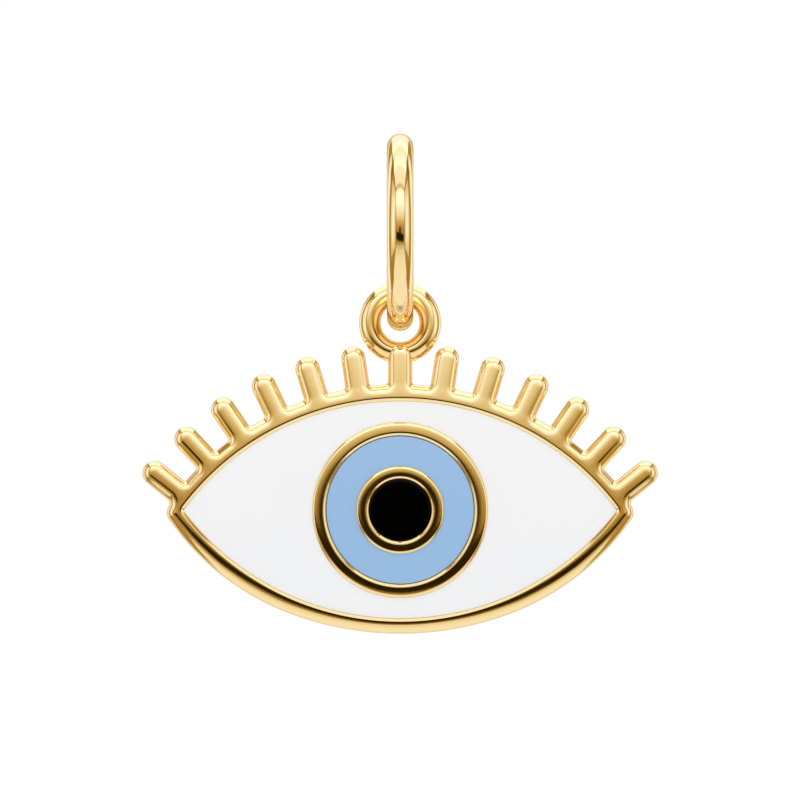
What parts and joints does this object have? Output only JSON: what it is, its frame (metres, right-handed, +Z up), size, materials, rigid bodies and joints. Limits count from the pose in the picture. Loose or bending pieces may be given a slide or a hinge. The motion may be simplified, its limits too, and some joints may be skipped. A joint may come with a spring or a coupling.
{
  "type": "evil eye pendant",
  "caption": "Flat eye-shaped charm with a row of lashes, an enamel iris and pupil and a small loop, hanging from a closed round bail ring.",
  "frame": {"origin": "the chain's seat, the top of the bail ring's inner side", "axes": "+X to the right across the eye, +Y to its back so that the eye faces -Y, +Z up from the eye to the bail ring"},
  "size_m": [0.0182, 0.007, 0.0176],
  "materials": {
    "gold": "polished yellow gold plating",
    "white_enamel": "glossy opaque white enamel",
    "blue_enamel": "glossy opaque light blue enamel",
    "black_enamel": "glossy opaque black enamel"
  },
  "bodies": {
    "bail": {"bail_ring": "gold"},
    "pendant": {"eye_frame": "gold", "white_enamel": "white_enamel", "blue_enamel": "blue_enamel", "black_enamel": "black_enamel"}
  },
  "joints": [
    {"name": "eye_sway", "type": "hinge", "parent": "bail", "child": "pendant", "pos_m": [0, 0, -0.00558], "axis": [0, 1, 0], "range_deg": [-90, 90]}
  ]
}
